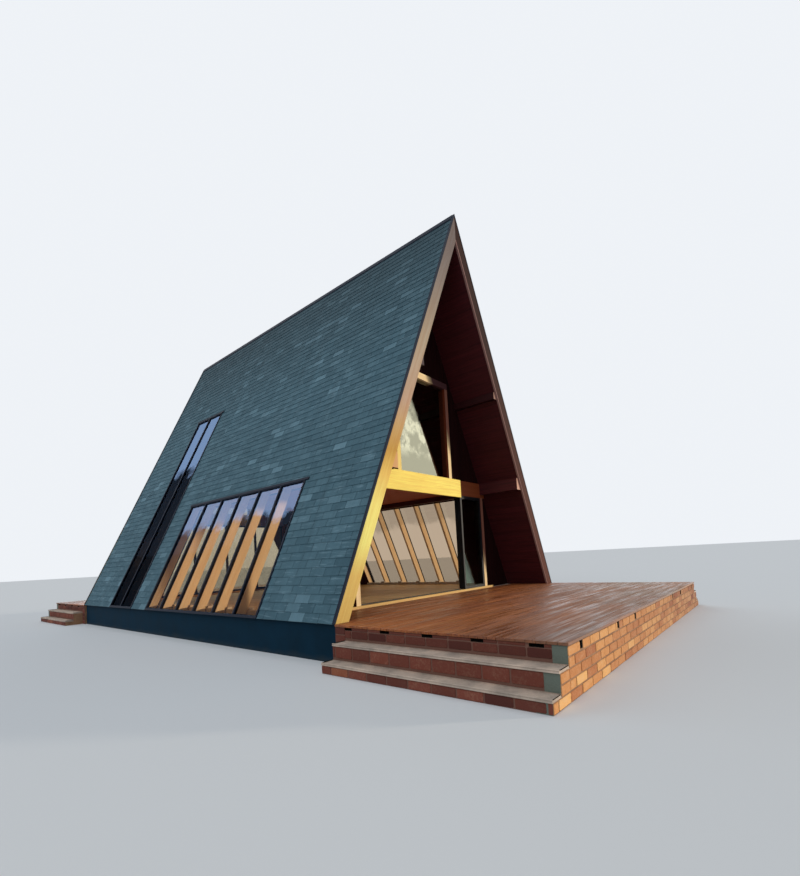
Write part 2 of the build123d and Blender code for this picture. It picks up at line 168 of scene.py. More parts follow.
class Look:
    """One material, and short calls that add nodes to it."""

    def __init__(self, name, roughness, gloss=0.5):
        self.material = bpy.data.materials.new(name)
        self.material.use_nodes = True
        self.tree = self.material.node_tree
        self.shader = self.tree.nodes["Principled BSDF"]
        self.shader.inputs["Roughness"].default_value = roughness
        self.shader.inputs["Specular IOR Level"].default_value = gloss

    def feed(self, socket, value):
        if isinstance(value, bpy.types.NodeSocket):
            self.tree.links.new(value, socket)
        else:
            socket.default_value = value

    def add(self, kind, settings, inputs, output=0):
        """Make a shader node with settings and inputs, for one of its outputs."""
        node = self.tree.nodes.new("ShaderNode" + kind)
        for name, value in settings.items():
            setattr(node, name, value)
        for name, value in inputs.items():
            self.feed(node.inputs[name], value)
        return node.outputs[output]

    def math(self, operation, first, second=0.0):
        return self.add("Math", {"operation": operation}, {0: first, 1: second})

    def plus(self, first, second):
        return self.math("ADD", first, second)

    def minus(self, first, second):
        return self.math("SUBTRACT", first, second)

    def times(self, first, second):
        return self.math("MULTIPLY", first, second)

    def absolute(self, value):
        return self.math("ABSOLUTE", value)

    def above(self, value, limit):
        """1 where a value is over a limit, and 0 elsewhere."""
        return self.math("GREATER_THAN", value, limit)

    def vector(self, operation, first, second):
        return self.add("VectorMath", {"operation": operation}, {0: first, 1: second})

    def place(self):
        return self.add("TexCoord", {}, {}, "Object")

    def parts(self, vector):
        """The X, Y and Z of a vector."""
        node = self.tree.nodes.new("ShaderNodeSeparateXYZ")
        self.feed(node.inputs[0], vector)
        return node.outputs

    def at(self, axes):
        """Coordinates of the shaded point, as many as there are letters."""
        place = self.parts(self.place())
        return [place[axis] for axis in axes]

    def join(self, x, y, z):
        return self.add("CombineXYZ", {}, {0: x, 1: y, 2: z})

    def looks_along(self, axis):
        """1 on faces that look along an axis, either way, and 0 elsewhere."""
        normal = self.parts(self.add("NewGeometry", {}, {}, "True Normal"))
        return self.above(self.absolute(normal[axis]), 0.8)

    def noise(self, scale, detail=3.0, rough=0.55, vector=None):
        if vector is None:
            vector = self.place()
        return self.add("TexNoise", {},
                        {"Vector": vector, "Scale": scale, "Detail": detail, "Roughness": rough})

    def grain(self, vector, scales, detail=3.0, rough=0.55):
        """Noise with a scale of its own along each axis."""
        return self.noise(1.0, detail, rough, self.vector("MULTIPLY", vector, scales))

    def ramp(self, value, stops):
        node = self.tree.nodes.new("ShaderNodeValToRGB")
        self.feed(node.inputs["Fac"], value)
        while len(node.color_ramp.elements) < len(stops):
            node.color_ramp.elements.new(0.5)
        for element, (position, colour) in zip(node.color_ramp.elements, stops):
            element.position = position
            element.color = colour
        return node.outputs["Color"]

    def levels(self, value, low, high, first=0.0, last=1.0):
        """Number that goes from a first to a last one while a value goes from low to high."""
        return self.add("MapRange", {}, {"Value": value, "From Min": low, "From Max": high,
                                         "To Min": first, "To Max": last})

    def between(self, share, first, last):
        """Number between two ends, for a share from 0 to 1."""
        return self.levels(share, 0.0, 1.0, first, last)

    def mix(self, share, first, second, blend="MIX"):
        return self.add("MixRGB", {"blend_type": blend},
                        {"Fac": share, "Color1": first, "Color2": second})

    def tinted(self, colour, tint):
        return self.mix(1.0, colour, tint, "MULTIPLY")

    def shade(self, colour, factor):
        """A colour made lighter or darker by a number."""
        return self.add("HueSaturation", {}, {"Value": factor, "Color": colour})

    def tone(self):
        return self.add("Attribute", {"attribute_name": "tone"}, {}, "Fac")

    def bump(self, height, distance, strength):
        return self.add("Bump", {}, {"Height": height, "Distance": distance, "Strength": strength})

    def done(self, colour, roughness=None, normal=None):
        """Feed the shader what isn't None."""
        for name, value in (("Base Color", colour), ("Roughness", roughness), ("Normal", normal)):
            if value is not None:
                self.feed(self.shader.inputs[name], value)
        return self.material


def grain_place(look, way):
    """Coordinates whose X follows the grain: X, Y, Z or up the roof's slope."""
    x, y, z = look.at("XYZ")
    if way == "slope":
        out = look.absolute(x)
        up = look.minus(look.times(z, climb), look.times(out, run))
        away = look.plus(look.times(z, run), look.times(out, climb))
        return look.join(up, y, look.plus(away, look.math("SIGN", x)))
    orders = {"x": (x, y, z), "y": (y, z, x), "z": (z, x, y)}
    return look.join(*orders[way])


def wood(name, way, pale, dark, roughness=0.45, gloss=0.4, boards=False, knots=0.0, stain_and_painted_light=None, worn=0.0):
    """Timber with its grain along one direction; boards have a tone and a grain of their own."""
    look = Look(name, roughness, gloss)
    place = grain_place(look, way)
    if boards:
        tone = look.tone()
        shift = look.join(look.times(tone, 37.0), look.times(tone, 11.0), look.times(tone, 5.0))
        place = look.vector("ADD", place, shift)
    wander = look.grain(place, (0.7, 2.0, 2.0), 2.0)
    bend = look.join(0.0, look.times(wander, 0.09), look.times(wander, 0.07))
    bent = look.vector("ADD", place, bend)
    streaks = look.grain(bent, (0.9, 34.0, 34.0), 4.0, 0.65)
    fibres = look.grain(bent, (5.0, 420.0, 420.0), 2.0, 0.6)
    clouds = look.grain(place, (0.8, 2.5, 2.5), 2.0)
    colour = look.mix(look.levels(streaks, 0.33, 0.68), dark, pale)
    if knots:
        cell = look.add("TexVoronoi", {},
                        {"Vector": look.vector("MULTIPLY", place, (1.3, 3.4, 3.4)), "Scale": 1.0})
        colour = look.mix(look.levels(cell, 0.16, 0.04, 0.0, knots), colour, dark)
    factor = look.plus(look.between(fibres, 0.86, 1.12), look.between(clouds, -0.12, 0.14))
    colour = look.shade(colour, factor)
    if boards:
        colour = look.shade(colour, look.between(tone, 0.78, 1.2))
    # This hook adds real stains and, for most timbers here, painted light and shade.
    if stain_and_painted_light is not None:
        colour = stain_and_painted_light(look, colour)
    height = look.times(look.plus(streaks, fibres), 0.5)
    rough = look.between(fibres, roughness - 0.08, roughness + 0.1)
    if worn:
        patches = look.grain(place, (0.9, 11.0, 11.0))
        rough = look.plus(rough, look.levels(patches, 0.35, 0.65, -worn, worn))
    return look.done(colour, rough, look.bump(height, 0.0015, 0.55))


def painted_overhang_shadow(look, colour, tint):
    """Painted shadow: redder and darker wood on the gable beyond the line where the right overhang's shadow
    falls.
    """
    x, z = look.at("XZ")
    place = look.plus(z, look.times(x, math.tan(slope)))
    edge = floor_z + (face_x(roof_depth, floor_z) - shadow_offset) * math.tan(slope)
    share = look.levels(place, edge, edge + 0.3)
    return look.mix(share, colour, look.tinted(colour, tint))


def lintel_painted_shadow(look, colour):
    """Lintel with painted shadow that makes its right end nearly as dark as the boards."""
    return painted_overhang_shadow(look, colour, rgb(80, 55, 79))


def beam_end_painted_shade(look, colour):
    """Painted shade on the beam beyond the end of its fascia board, where the right overhang's shadow falls.
    """
    x = look.at("X")[0]
    beyond = look.above(x, fascia_end + 0.001)
    return look.mix(beyond, colour, look.tinted(colour, rgb(128, 72, 88)))


def post_painted_light_and_shade(look, colour):
    """Peach posts, yellower on the upper left as painted sunlight, with painted shadow where the right
    overhang's shadow falls and painted shade in maroon on the faces that look along the gable.
    """
    x, z = look.at("XZ")
    upper_left = look.times(look.math("LESS_THAN", x, 0.0), look.above(z, beam_level))
    painted_sunlight = look.mix(upper_left, colour, look.tinted(colour, rgb(255, 255, 190)))
    reveal_painted_shade = look.tinted(colour, rgb(128, 66, 52))
    return look.mix(look.looks_along("X"), painted_overhang_shadow(look, painted_sunlight, rgb(152, 116, 130)), reveal_painted_shade)


def end_grain_and_painted_light(look, colour):
    """End grain on the maroon beams, pale partly as painted sunlight and yellower on the left as painted
    sunlight, but none on the upper left one; the upper beams are darker as painted shade.
    """
    x, z = look.at("XZ")
    upper = look.above(z, purlin_level)
    right = look.above(x, 0.0)
    bare = look.math("MAXIMUM", right, look.minus(1.0, upper))
    # Painted shade: the upper beams darker.
    colour = look.mix(upper, colour, look.tinted(colour, rgb(178, 162, 166)))
    grain = look.mix(upper, look.mix(right, rgb(198, 144, 86), rgb(186, 136, 114)), rgb(134, 94, 80))
    return look.mix(look.times(look.looks_along("Y"), bare), colour, grain)


def barge_painted_light(look, colour):
    """Painted light on the barge boards: sunlit strips on the left, greyer towards the ridge as painted
    shade; painted shade on the right, darker towards the ridge, with a painted highlight along its inner
    edge.
    """
    x, z = look.at("XZ")
    painted_light_bands = look.ramp(look.levels(z, floor_z, floor_z + 7.0), [
        (0.0, rgb(212, 186, 190)), (0.09, rgb(226, 200, 204)), (0.16, rgb(250, 250, 255)),
        (0.24, rgb(252, 246, 250)), (0.31, rgb(244, 212, 205)), (0.37, rgb(202, 162, 146)),
        (0.42, rgb(204, 170, 196)), (0.5, rgb(196, 170, 255)), (0.68, rgb(178, 165, 250)),
        (0.88, rgb(136, 128, 214)), (1.0, rgb(118, 110, 190)),
    ])
    left = look.tinted(colour, painted_light_bands)
    # Painted shade on the right barge, darker towards the ridge.
    right = look.mix(look.levels(z, floor_z + 0.5, floor_z + 5.4),
                     look.tinted(colour, rgb(98, 58, 88)), look.tinted(colour, rgb(48, 26, 42)))
    out = look.times(look.minus(half_width, x), climb)
    depth = look.minus(out, look.times(look.minus(z, floor_z), run))
    # Painted highlight along the inner edge of the right barge.
    edge = look.above(depth, roof_depth - highlight_edge_width)
    right = look.mix(edge, right, rgb(146, 112, 106))
    return look.mix(look.above(x, 0.0), left, right)


def deck_colour_shifts(look, colour):
    """Deck boards darker in streaks and at the outer left corner, greyer in patches to the outer right."""
    x, y = look.at("XY")
    out = look.absolute(y)
    dark_streaks = look.grain(look.place(), (0.5, 2.4, 1.0))
    colour = look.mix(look.levels(dark_streaks, 0.45, 0.7, 0.0, 0.55), colour, rgb(96, 46, 30))
    outer_left = look.times(look.levels(x, -2.2, -3.3), look.levels(out, 6.3, 7.3))
    colour = look.mix(outer_left, colour, look.tinted(colour, rgb(196, 190, 206)))
    outer_right_share = look.levels(look.plus(out, look.times(x, 0.35)), 5.6, 9.0)
    patches = look.levels(look.noise(0.9, 4.0), 0.3, 0.7, 0.45, 1.0)
    return look.mix(look.times(outer_right_share, patches), colour, rgb(138, 116, 96))


def side_mortar_painted_shade(look, colour):
    """Joints on the side walls darker and redder as painted shade, and grey-green where their end bricks are
    missing.
    """
    y = look.at("Y")[0]
    bare = look.above(look.absolute(y), wall_end - bare_patch)
    side = look.mix(bare, rgb(116, 82, 70), rgb(104, 112, 102))
    return look.mix(look.looks_along("X"), colour, side)


def shingle_finish():
    """Mineral shingle with granules, tab tones, short pale flecks and faint run-off, with painted shade that
    darkens it towards the ridge.
    """
    look = Look("blue_shingle", 0.9, 0.3)
    along = grain_place(look, "slope")
    granules = look.noise(620.0, 2.0, 0.7)
    coarse = look.noise(75.0, 3.0, 0.6)
    streaks = look.grain(along, (0.5, 9.0, 1.0), 4.0, 0.6)
    flecks = look.grain(along, (26.0, 3.0, 1.0), 3.0, 0.6)
    colour = look.ramp(look.tone(), [
        (0.0, rgb(58, 87, 99)), (0.45, rgb(68, 98, 110)), (0.85, rgb(78, 108, 120)), (1.0, rgb(98, 129, 142)),
    ])
    colour = look.mix(look.levels(flecks, 0.56, 0.7, 0.0, 0.5), colour, rgb(112, 140, 152))
    factor = look.plus(look.between(granules, 0.66, 1.36), look.between(coarse, -0.16, 0.15))
    factor = look.times(factor, look.levels(streaks, 0.3, 0.7, 0.88, 1.08))
    ridge_painted_shade = look.levels(look.at("Z")[0], ridge_z - 3.2, ridge_z - 0.2, 1.0, 0.5)
    colour = look.shade(colour, look.times(factor, ridge_painted_shade))
    height = look.plus(granules, look.times(coarse, 1.5))
    return look.done(colour, None, look.bump(height, 0.0012, 0.6))


def brick_finish():
    """Clay blocks, each with its own tone, yellower towards the left end of a wall because of painted shade
    that darkens them towards +X.
    """
    look = Look("clay_brick", 0.92, 0.3)
    spots = look.noise(38.0, 4.0, 0.65)
    fine = look.noise(260.0, 3.0, 0.7)
    clouds = look.noise(7.0)
    colour = look.ramp(look.tone(), [
        (0.0, rgb(80, 40, 33)), (0.3, rgb(124, 66, 52)), (0.5, rgb(172, 108, 68)), (0.75, rgb(204, 142, 86)),
        (1.0, rgb(226, 172, 108)),
    ])
    # Painted shade: darker and less yellow towards +X.
    far = look.levels(look.at("X")[0], -half_width, half_width, 0.0, 0.8)
    colour = look.mix(far, colour, look.tinted(colour, rgb(186, 188, 236)))
    dust = look.levels(look.plus(spots, look.times(clouds, 0.5)), 0.74, 0.95, 0.0, 0.35)
    colour = look.mix(look.times(dust, look.tone()), colour, rgb(214, 182, 148))
    dirt = look.levels(look.plus(spots, clouds), 0.92, 0.7, 0.0, 0.3)
    colour = look.mix(dirt, colour, rgb(112, 58, 38))
    colour = look.shade(colour, look.between(fine, 0.82, 1.18))
    height = look.plus(spots, look.times(fine, 0.4))
    return look.done(colour, None, look.bump(height, 0.004, 0.7))


def mortar_finish(name, pale, dark, stain_and_painted_light=None):
    """Rough cement with sand, patches and small pits."""
    look = Look(name, 0.93, 0.3)
    patches = look.noise(3.2, 4.0, 0.65)
    sand = look.noise(210.0, 3.0, 0.7)
    lumps = look.noise(46.0, 3.0, 0.6)
    colour = look.mix(look.levels(patches, 0.35, 0.68), dark, pale)
    # This hook adds the side walls' painted shade and their bare patches.
    if stain_and_painted_light is not None:
        colour = stain_and_painted_light(look, colour)
    factor = look.plus(look.between(sand, 0.8, 1.16), look.between(lumps, -0.12, 0.12))
    height = look.plus(lumps, look.times(sand, 0.35))
    return look.done(look.shade(colour, factor), None, look.bump(height, 0.005, 0.7))


def plinth_finish():
    """Navy masonry paint, dusty and splashed near the ground."""
    look = Look("navy_plinth_paint", 0.9, 0.08)
    patches = look.noise(2.2, 4.0, 0.6)
    render = look.noise(55.0, 4.0, 0.6)
    fine = look.noise(300.0, 2.0)
    colour = look.mix(look.levels(patches, 0.3, 0.7), rgb(4, 33, 48), rgb(10, 42, 60))
    height = look.plus(look.at("Z")[0], look.times(patches, 0.16))
    colour = look.mix(look.levels(height, 0.17, 0.03, 0.0, 0.3), colour, rgb(84, 84, 76))
    colour = look.shade(colour, look.between(fine, 0.86, 1.14))
    return look.done(colour, look.between(patches, 0.68, 0.9), look.bump(render, 0.004, 0.5))


def metal_finish(name, colour, roughness):
    """Painted metal, faintly uneven, with a little dust."""
    look = Look(name, roughness, 0.14)
    peel = look.noise(170.0, 2.0)
    dust = look.noise(4.0, 4.0, 0.65)
    colour = look.mix(look.levels(dust, 0.5, 0.85, 0.0, 0.12), colour, rgb(88, 98, 108))
    rough = look.between(dust, roughness - 0.06, roughness + 0.12)
    return look.done(colour, rough, look.bump(peel, 0.0006, 0.3))


def paint_finish(name, colour, roughness):
    """Brush paint on timber."""
    look = Look(name, roughness)
    strokes = look.grain(look.place(), (60.0, 2.0, 60.0))
    patches = look.noise(3.0)
    factor = look.plus(look.between(strokes, 0.9, 1.04), look.between(patches, -0.08, 0.08))
    return look.done(look.shade(colour, factor), None, look.bump(strokes, 0.001, 0.4))


def plain_finish(name, colour, roughness):
    """Underlay, and the painted shade in the hollows."""
    look = Look(name, roughness, 0.2)
    fine = look.noise(90.0)
    return look.done(look.shade(colour, look.between(fine, 0.8, 1.2)))


def painted_reflection_above(look, low, high, most):
    """Painted reflection: more mirror in the upper part of a side window, with an uneven edge."""
    rough_edge = look.between(look.noise(1.6, 4.0, 0.65), -0.5, 0.5)
    height = look.plus(look.at("Z")[0], rough_edge)
    return look.levels(height, low, high, 0.0, most)


def painted_reflection_low_left(look):
    """Painted reflection: more mirror in the lower left half of the upper gable window, most of it in bright
    wisp shapes.
    """
    x, z = look.at("XZ")
    painted_wisps = look.levels(look.noise(3.4, 4.0, 0.6), 0.42, 0.55)
    share = look.between(look.times(painted_wisps, look.levels(z, 3.45, 3.7)), 0.47, 0.92)
    share = look.times(share, look.levels(z, 4.5, 4.2, 0.5, 1.0))
    edge = look.plus(look.times(x, 1.72), z)
    return look.times(look.levels(edge, 4.2, 4.05), share)


def painted_reflection_at_foot(look):
    """Painted reflection: more mirror at the foot of the door leaves, less to the right."""
    x, z = look.at("XZ")
    return look.levels(look.plus(z, look.times(x, 0.9)), 3.3, 2.2, 0.0, 0.12)


def glass_finish(name, tint, sheen, least, most, more=None):
    """Clear pane: most light goes through, and its outer faces mirror the rest, more at a low angle."""
    look = Look(name, 0.05)
    look.tree.nodes.remove(look.shader)
    clear = look.add("BsdfTransparent", {}, {"Color": tint})
    mirror = look.add("BsdfGlossy", {}, {"Color": sheen, "Roughness": 0.02})
    facing = look.add("LayerWeight", {}, {"Blend": 0.5}, "Facing")
    inside = look.add("NewGeometry", {}, {}, "Backfacing")
    share = look.between(look.math("POWER", facing, 8.0), least, most)
    # more(look) adds a painted reflection, placed by position on the pane.
    if more is not None:
        share = look.math("MINIMUM", look.plus(share, more(look)), 0.95)
    share = look.times(share, look.minus(1.0, inside))
    both = look.add("MixShader", {}, {0: share, 1: clear, 2: mirror})
    look.feed(look.tree.nodes["Material Output"].inputs["Surface"], both)
    return look.material


class Pile:
    """Points and faces of one piece, with a tone for each face."""

    def __init__(self, place=None):
        self.place = place or (lambda x, y, z: (x, y, z))
        self.points = []
        self.faces = []
        self.tones = []

    def add(self, points, faces, tone, place):
        start = len(self.points)
        self.points += [(place or self.place)(*point) for point in points]
        self.faces += [[start + index for index in face] for face in faces]
        self.tones += [tone] * len(faces)

    def rings(self, rings, tone=0.5, place=None, open_start=False):
        """Skin over a row of outlines that have as many points each, with both ends closed or one open."""
        count = len(rings[0])
        last = count * (len(rings) - 1)
        faces = [range(last, last + count)]
        if not open_start:
            faces.append(range(count))
        for start in range(0, last, count):
            for index in range(count):
                after = (index + 1) % count
                faces.append((start + index, start + after, start + count + after, start + count + index))
        self.add([point for ring in rings for point in ring], faces, tone, place)

    def box(self, low, high, cut, tone=0.5, place=None):
        """Block between two corners, with its edges cut by a small flat."""
        points = []
        index = {}
        corners = [(x, y, z) for x in (0, 1) for y in (0, 1) for z in (0, 1)]
        for corner in corners:
            for axis in range(3):
                insets = [0 if k == axis else cut for k in range(3)]
                index[corner, axis] = len(points)
                points.append([high[k] - insets[k] if corner[k] else low[k] + insets[k] for k in range(3)])
        faces = [[index[corner, axis] for axis in range(3)] for corner in corners]
        for axis in range(3):
            first, second = [k for k in range(3) if k != axis]
            ring = []
            for a, b in ((0, 0), (1, 0), (1, 1), (0, 1)):
                corner = [0, 0, 0]
                corner[first] = a
                corner[second] = b
                near = tuple(corner)
                corner[axis] = 1
                far = tuple(corner)
                ring.append((near, far))
                faces.append([index[near, first], index[near, second], index[far, second], index[far, first]])
            faces.append([index[near, axis] for near, far in ring])
            faces.append([index[far, axis] for near, far in ring])
        self.add(points, faces, tone, place)

    def piece(self, name, material, slot, *nodes):
        """Make the piece, let it ride on the cabin and stand for CAD nodes."""
        mesh = bpy.data.meshes.new(name)
        mesh.from_pydata(self.points, [], self.faces)
        mesh.attributes.new("tone", "FLOAT", "FACE").data.foreach_set("value", self.tones)
        mesh.materials.append(material)
        work = bmesh.new()
        work.from_mesh(mesh)
        bmesh.ops.recalc_face_normals(work, faces=work.faces)
        work.to_mesh(mesh)
        work.free()
        piece = bpy.data.objects.new(name, mesh)
        bpy.context.scene.collection.objects.link(piece)
        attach(piece, body)
        if nodes:
            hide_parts(*nodes)


def on_slope(side):
    """Place for points on one slope: along it, up it and into the roof."""
    def place(y, rise, depth):
        x = half_width - rise * run - depth * climb
        return (side * x, y, floor_z + rise * climb - depth * run)

    return place


def on_side(side, wall_x):
    """Place for points on a wall that faces along X: along it, up it and out of it."""
    return lambda y, z, out: (side * (wall_x + out), y, z)


def on_end(face_y, way, side=1):
    """Place for points on a wall that faces along Y: across it, up it and out of it."""
    return lambda x, z, out: (side * x, face_y + way * out, z)


def face_x(depth, z):
    """Distance from the ridge plane to a face of the roof at a height."""
    return half_width - depth / climb - (z - floor_z) / math.tan(slope)


def ridge_rise(depth):
    """Distance up the slope at which a depth reaches the ridge plane."""
    return (half_width - depth * climb) / run


def window_opening(node):
    """Start and end along the roof, and rise, of a window."""
    low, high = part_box(node)
    rise = (high.z - floor_z - frame_proud * run) / climb + frame_gap
    return (low.y - frame_gap, high.y + frame_gap, rise)


windows = [window_opening("large_window_frames"), window_opening("narrow_window_frames")]


def clear_spans(low, high):
    """Stretches of a row on the slope beside and above the windows, each with its own lower edge."""
    spans = []
    y = shell_front
    for start, end, rise in windows:
        spans.append((y, start, low))
        if high > rise + short_strip:
            spans.append((start, end, max(low, rise)))
        y = end
    spans.append((y, shell_back, low))
    return spans


def lengths(start, end, cuts, shortest=short_strip):
    """Pieces of a stretch between its cuts, but for cuts too near to its ends."""
    inside = sorted(cut for cut in cuts if start + shortest < cut < end - shortest)
    edges = [start] + inside + [end]
    return list(zip(edges, edges[1:]))


def around(middle, width):
    return (middle - width / 2, middle + width / 2)


def random_cuts(draw, start, end, shortest, longest):
    """Uneven cuts along a stretch."""
    cuts = []
    place = start + draw.uniform(0.3, 1.0) * longest
    while place < end:
        cuts.append(place)
        place += draw.uniform(shortest, longest)
    return cuts


def tab(pile, low, high, butt, head, draw):
    """One shingle tab: a thin wedge that is thickest at its lower edge."""
    lift = draw.uniform(0.0, tab_lift)
    skew = draw.uniform(-tab_skew, tab_skew)
    left = low + tab_slot / 2
    right = high - tab_slot / 2
    tail = head + head_lap
    outline = [(left, butt + skew), (right, butt - skew), (right, tail), (left, tail)]
    butt_face = tab_depth - butt_lift + lift
    tail_face = tab_depth - tab_tail
    depths = (butt_face, butt_face, tail_face, tail_face)
    tone = draw.triangular(0.0, 0.85, 0.42)
    if draw.random() < pale_share:
        tone = draw.uniform(0.82, 1.0)
    pile.rings([[(y, rise, tab_depth) for y, rise in outline],
                [(y, rise, depth) for (y, rise), depth in zip(outline, depths)]], tone)


def shingles(side, name, node, material, dark):
    """All courses of one slope, with the underlay that shows in their slots."""
    draw = random.Random(f"shingles {side}")
    pile = Pile(on_slope(side))
    top_rise = ridge_rise(tab_depth)
    count = int((shell_back - shell_front) / tab_width) + 2
    course = 0
    rise = 0.0
    while rise < top_rise - short_strip:
        head = min(rise + course_exposure, top_rise - head_lap - 0.001)
        first = shell_front + (course % 2) * tab_width / 2 + draw.uniform(-0.015, 0.015)
        cuts = [first + tab_width * step for step in range(count)]
        for start, end, butt in clear_spans(rise, head):
            for low, high in lengths(start, end, cuts):
                tab(pile, low, high, butt, head, draw)
        course += 1
        rise += course_exposure
    pile.piece(name, material, "shingle", node)
    under = Pile(on_slope(side))
    top_rise = ridge_rise(shingle_depth)
    for start, end, low in clear_spans(0.0, top_rise):
        under.box((start, low, tab_depth), (end, top_rise, shingle_depth), underlay_cut)
    under.piece(name + "_underlay", dark, "shingle")


def lining(side, name, node, material):
    """Boards along the building on the inner face of one slope."""
    draw = random.Random(f"lining {side}")
    pile = Pile(on_slope(side))
    rise = roof_depth / math.tan(slope)
    top = ridge_rise(roof_depth)
    while rise < top - short_strip:
        head = min(rise + lining_pitch, top)
        cuts = random_cuts(draw, shell_front, shell_back, 2.4, 4.2)
        for start, end, low in clear_spans(rise, head):
            for near, far in lengths(start, end, cuts):
                tone = draw.triangular(0.1, 0.9, 0.5)
                pile.box((near + end_gap / 2, low, lining_depth), (far - end_gap / 2, head, roof_depth),
                         board_cut, tone)
        rise += lining_pitch
    pile.piece(name, material, "lining_wood", node)


def board_rows(pile, draw, rows, start, end, low, high, pitch, shortest, longest, along_x):
    """Flat boards side by side between two heights, each row cut at uneven places."""
    row_start, row_end = rows
    place = row_start
    while place < row_end - short_strip:
        far = min(place + pitch, row_end)
        cuts = random_cuts(draw, start, end, shortest, longest)
        joints = sorted({round(cut / joist_pitch) * joist_pitch for cut in cuts})
        for near, further in lengths(start, end, joints):
            tone = draw.triangular(0.0, 1.0, 0.5)
            dip = draw.uniform(0.0, plank_dip)
            ends = (near + end_gap, further - end_gap)
            sides = (place + board_gap / 2, far - board_gap / 2)
            x, y = (ends, sides) if along_x else (sides, ends)
            pile.box((x[0], y[0], low), (x[1], y[1], high - dip), plank_cut, tone)
        place += pitch


def deck(name, node, roof_y, material):
    """Boards across one deck, and on under the overhang of the roof."""
    draw = random.Random(name)
    pile = Pile()
    low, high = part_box(node)
    inner_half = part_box("floor_boards")[1].x
    outer, inner = (low.y, high.y) if roof_y < 0 else (high.y, low.y)
    for half, rows in ((half_width, sorted((outer, roof_y))), (inner_half, sorted((roof_y, inner)))):
        board_rows(pile, draw, rows, -half, half, low.z, high.z, deck_pitch, 1.8, 4.2, True)
    pile.piece(name, material, "deck_wood", node)


def floor(material):
    """Floor boards along the building."""
    draw = random.Random("floor")
    pile = Pile()
    low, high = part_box("floor_boards")
    board_rows(pile, draw, (low.x, high.x), low.y, high.y, low.z, high.z, floor_pitch, 1.5, 3.0, False)
    pile.piece("floor_strips", material, "floor_wood", "floor_boards")


def brick_row(pile, draw, start, end, low, high, offset, gaps, tones, place):
    """One course of bricks between two ends and two heights, broken at gaps."""
    step = brick_length + brick_joint
    cuts = [start + offset + step * index for index in range(-1, int((end - start) / step) + 2)]
    stretches = []
    edge = start
    for gap_start, gap_end in sorted(gaps):
        stretches.append((edge, gap_start))
        edge = gap_end
    stretches.append((edge, end))
    for near, far in stretches:
        if far - near < shortest_brick + 0.005:
            continue
        for a, b in lengths(near, far, cuts):
            left = a + (brick_joint / 2 if a > near else 0.0) + draw.uniform(0.0, brick_slack)
            right = b - (brick_joint / 2 if b < far else 0.0) - draw.uniform(0.0, brick_slack)
            if right - left < shortest_brick:
                continue
            tone = min(1.0, max(0.0, draw.gauss(*tones)))
            bottom = low + draw.uniform(0.0, brick_slack)
            top = high - draw.uniform(0.0, brick_slack)
            rough_brick(pile, draw, left, right, bottom, top, tone, place)


def rough_brick(pile, draw, left, right, low, high, tone, place):
    """Face of one brick, a little proud of the mortar, with a chipped outline."""
    def ring(inset, out, wobble):
        corners = []
        width = right - left
        height = high - low
        spots = [(0.03, 0), (0.35, 0), (0.7, 0), (0.97, 0), (1, 0.12), (1, 0.5), (1, 0.88),
                 (0.97, 1), (0.65, 1), (0.3, 1), (0.03, 1), (0, 0.88), (0, 0.5), (0, 0.12)]
        for across, up in spots:
            x = left + inset + (width - 2 * inset) * across + draw.uniform(-wobble, wobble)
            z = low + inset + (height - 2 * inset) * up + draw.uniform(-wobble, wobble)
            corners.append((x, z, out))
        return corners

    face_out = brick_proud + draw.uniform(-0.002, 0.001)
    base = ring(0.0, -0.002, 0.0)
    side = ring(0.0005, face_out - 0.0025, 0.0012)
    face = ring(0.0032, face_out, 0.0014)
    pile.rings([base, side, face], tone, place)


def courses(top, count):
    """Bottom and top of even courses from the ground up, without their joints."""
    pitch = top / count
    return [(pitch * step + brick_joint / 2, pitch * (step + 1) - brick_joint / 2) for step in range(count)]


def deck_bricks(name, node, way, material, dark):
    """Bricks on the end wall and the side walls of one deck, the side ones darker as painted shade, and the
    linings of the hollows in them, dark as painted shade.
    """
    draw = random.Random(name)
    pile = Pile()
    hollows = Pile()
    low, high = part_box(node)
    face_y, roof_y = (low.y, high.y) if way < 0 else (high.y, low.y)
    wall_x = high.x
    reach = wall_x + corner_lap
    top = high.z
    end_wall = on_end(face_y, way)
    vents = [around(side * (wall_x - inset), vent_width) for inset in vent_places for side in (-1, 1)]
    for index, (z_low, z_high) in enumerate(courses(top, deck_courses)):
        gaps = vents if index == deck_courses - 1 else []
        offset = (index % 2) * (brick_length + brick_joint) / 2
        brick_row(pile, draw, -reach, reach, z_low, z_high, offset, gaps, wall_tones, end_wall)
    for start, end in vents:
        hollow(hollows, start, end, vent_height, top, end_wall)

    stop = roof_y + way * tread_stop
    patch = tuple(sorted((face_y, face_y - way * bare_patch)))
    sockets = []
    middle = face_y - way * socket_inset
    while (middle - roof_y) * way > socket_width / 2:
        sockets.append(around(middle, socket_width))
        middle -= way * socket_pitch
    over_steps = ((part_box("step_treads")[1].z + 0.03, top - socket_height - 0.004, [patch]),
                  (top - socket_height + 0.006, top - 0.004, sockets + [patch]))
    for side in (-1, 1):
        side_wall = on_side(side, wall_x)
        start, end = sorted((face_y, stop))
        for z_low, z_high, gaps in over_steps:
            brick_row(pile, draw, start, end, z_low, z_high, 0.1, gaps, side_shade_tones, side_wall)
        start, end = sorted((stop, roof_y))
        for z_low, z_high in courses(top, deck_courses):
            brick_row(pile, draw, start, end, z_low, z_high, 0.0, [], side_shade_tones, side_wall)
        for start, end in sockets:
            hollow(hollows, start, end, socket_height, top, side_wall)
    pile.piece(name, material, "brick")
    hollows.piece(name + "_painted_shade_hollows", dark, "mortar")


